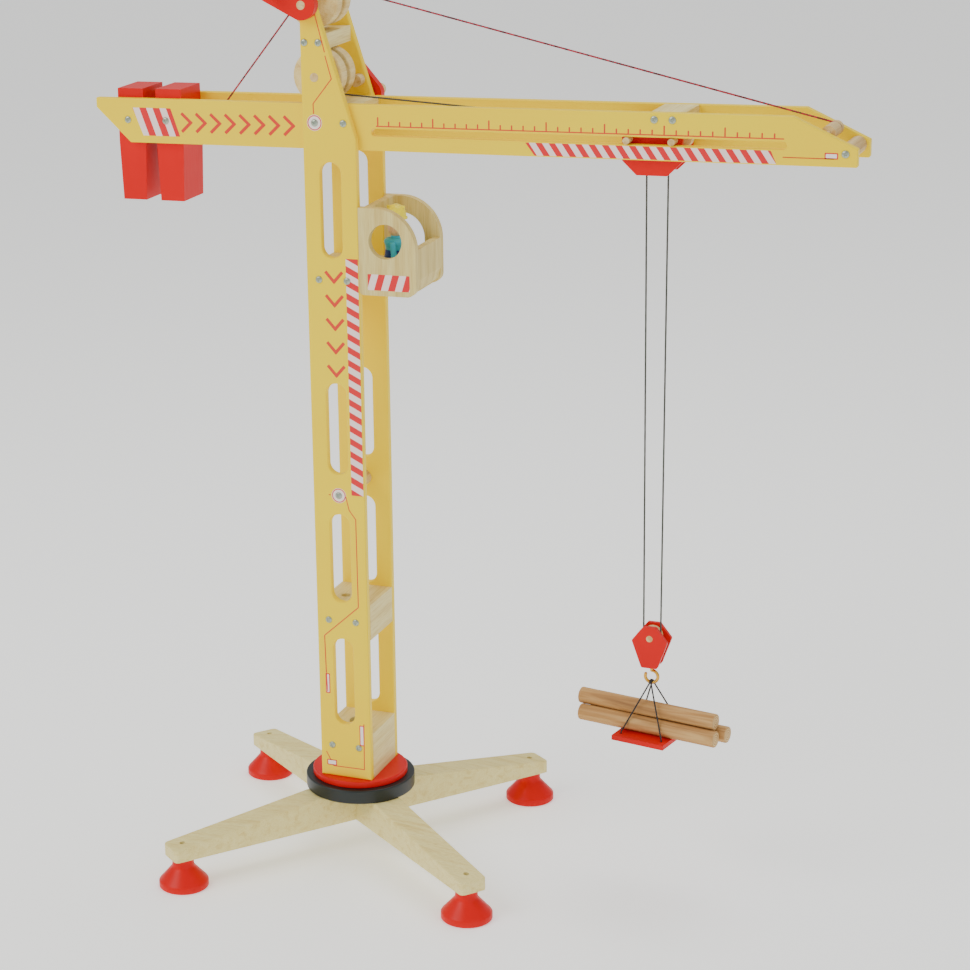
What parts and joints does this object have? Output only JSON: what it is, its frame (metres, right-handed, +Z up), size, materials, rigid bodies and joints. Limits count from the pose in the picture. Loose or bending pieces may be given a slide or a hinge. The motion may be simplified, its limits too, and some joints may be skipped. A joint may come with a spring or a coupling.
{
  "type": "toy tower crane",
  "caption": "Wooden toy tower crane: slewing slotted mast on a cross foot, long jib with rope-drawn trolley, crank hoist with hook block, counterweights, driver's cab and slung logs.",
  "frame": {"origin": "centre of the cross foot, on the floor", "axes": "+X along the jib, +Y to the back, +Z up along the slewing axis"},
  "size_m": [0.7653, 0.3854, 0.9248],
  "materials": {
    "yellow_paint": "painted plywood, satin",
    "red_paint": "painted wood, satin",
    "pine": "natural pine, waxed",
    "cab_plywood": "natural plywood, waxed",
    "log_wood": "natural round wood",
    "black_ring": "matt black",
    "zinc": "bright zinc",
    "brass": "polished brass",
    "hoist_cord": "twisted cord",
    "pull_cord": "braided cord",
    "sling_cord": "twisted cord",
    "driver_paint": "painted turned wood"
  },
  "bodies": {
    "base": {"cross_leg_lower": "pine", "cross_leg_upper": "pine", "foot_front_left": "red_paint", "foot_front_right": "red_paint", "foot_back_right": "red_paint", "foot_back_left": "red_paint", "foot_screws": "zinc", "turntable_ring": "black_ring", "pivot_bolt_set": "zinc"},
    "tower": {"turntable_disc": "red_paint", "mast_panel_front": "yellow_paint", "mast_panel_rear": "yellow_paint", "mast_block_bottom": "pine", "mast_block_middle": "pine", "cab_floor_block": "cab_plywood", "mast_block_head": "pine", "mast_spacer_dowel": "pine", "jib_panel_front": "yellow_paint", "jib_panel_rear": "yellow_paint", "jib_block_mast": "pine", "jib_block_top": "pine", "jib_tip_dowel": "pine", "counterweight_inner": "red_paint", "counterweight_outer": "red_paint", "side_screws": "zinc", "rope_guide_peg": "pine", "cab_side_front": "cab_plywood", "cab_side_rear": "cab_plywood", "cab_front_board": "cab_plywood", "cab_roof_rail": "cab_plywood", "roller_axles": "pine", "hoist_rope_jib": "hoist_cord", "trolley_rope": "pull_cord"},
    "trolley_winder": {"trolley_drum": "pine", "trolley_shaft": "pine", "trolley_crank": "red_paint", "trolley_knob": "pine"},
    "hoist_winder": {"hoist_drum": "pine", "hoist_shaft": "pine", "hoist_crank": "red_paint", "hoist_knob": "pine"},
    "back_roller_wheel": {"back_roller": "pine"},
    "tip_roller_wheel": {"tip_roller": "pine"},
    "trolley": {"trolley_plate_front": "red_paint", "trolley_plate_rear": "red_paint", "trolley_axles": "pine", "hoist_rope_falls": "hoist_cord"},
    "mast_sheave_wheel": {"trolley_sheave_mast": "cab_plywood"},
    "tip_sheave_wheel": {"trolley_sheave_tip": "cab_plywood"},
    "hook_block": {"hook_cheek_front": "red_paint", "hook_cheek_rear": "red_paint", "hook_axle": "pine", "hook_core": "red_paint", "cup_hook": "brass"},
    "hook_sheave_wheel": {"hook_sheave": "cab_plywood"},
    "load": {"load_pallet": "red_paint", "load_sling": "sling_cord", "load_logs": "log_wood"},
    "driver": {"driver_figure": "driver_paint"}
  },
  "joints": [
    {"name": "slew", "type": "hinge", "parent": "base", "child": "tower", "pos_m": [0, 0, 0.086], "axis": [0, 0, 1], "continuous": true},
    {"name": "trolley_travel", "type": "slide", "parent": "tower", "child": "trolley", "axis": [-1, 0, 0], "range_m": [-0.1003, 0.2103], "deforming": ["trolley_rope", "hoist_rope_jib"]},
    {"name": "trolley_winder_turn", "type": "hinge", "parent": "tower", "child": "trolley_winder", "pos_m": [-0.0213, 0, 0.894], "axis": [0, 1, 0], "range_deg": [-358.1, 752.01]},
    {"name": "back_roller_turn", "type": "hinge", "parent": "tower", "child": "back_roller_wheel", "pos_m": [-0.1355, 0, 0.776], "axis": [0, 1, 0], "range_deg": [-1023.64, 2149.09]},
    {"name": "tip_roller_turn", "type": "hinge", "parent": "tower", "child": "tip_roller_wheel", "pos_m": [0.4772, 0, 0.7805], "axis": [0, 1, 0], "range_deg": [-1023.64, 2149.09]},
    {"name": "tip_sheave_turn", "type": "hinge", "parent": "trolley", "child": "tip_sheave_wheel", "pos_m": [0.3375, 0, 0.7704], "axis": [0, 1, 0], "range_deg": [-531.02, 1114.58]},
    {"name": "hoist", "type": "slide", "parent": "trolley", "child": "hook_block", "axis": [0, 0, 1], "range_m": [-0.158, 0.4], "deforming": ["hoist_rope_falls"]},
    {"name": "hoist_winder_turn", "type": "hinge", "parent": "tower", "child": "hoist_winder", "pos_m": [-0.0141, 0, 0.8235], "axis": [0, 1, 0], "range_deg": [-989.87, 2505.23]},
    {"name": "mast_sheave_turn", "type": "hinge", "parent": "trolley", "child": "mast_sheave_wheel", "pos_m": [0.2949, 0, 0.7704], "axis": [0, 1, 0], "range_deg": [-4244.63, 1676.93]},
    {"name": "hook_sheave_turn", "type": "hinge", "parent": "hook_block", "child": "hook_sheave_wheel", "pos_m": [0.3162, 0, 0.273], "axis": [0, 1, 0], "range_deg": [-1053.14, 2665.42]},
    {"name": "load_twist", "type": "hinge", "parent": "hook_block", "child": "load", "pos_m": [0.3162, 0, 0.2236], "axis": [0, 0, 1], "continuous": true, "deforming": ["load_sling"]},
    {"name": "driver_lift", "type": "slide", "parent": "tower", "child": "driver", "axis": [0, 0, 1], "range_m": [0, 0.07]}
  ],
  "couplings": [
    {"joint": "trolley_travel", "follows": "trolley_winder_turn", "m_per_rad": 0.016},
    {"joint": "back_roller_turn", "follows": "trolley_winder_turn", "ratio": 2.8571},
    {"joint": "tip_roller_turn", "follows": "trolley_winder_turn", "ratio": 2.8571},
    {"joint": "tip_sheave_turn", "follows": "trolley_winder_turn", "ratio": 1.4815},
    {"joint": "hoist_winder_turn", "follows": "hoist", "rad_per_m": 109.29},
    {"joint": "mast_sheave_turn", "follows": "hoist", "rad_per_m": -185.19},
    {"joint": "hook_sheave_turn", "follows": "hoist", "rad_per_m": 116.28}
  ]
}
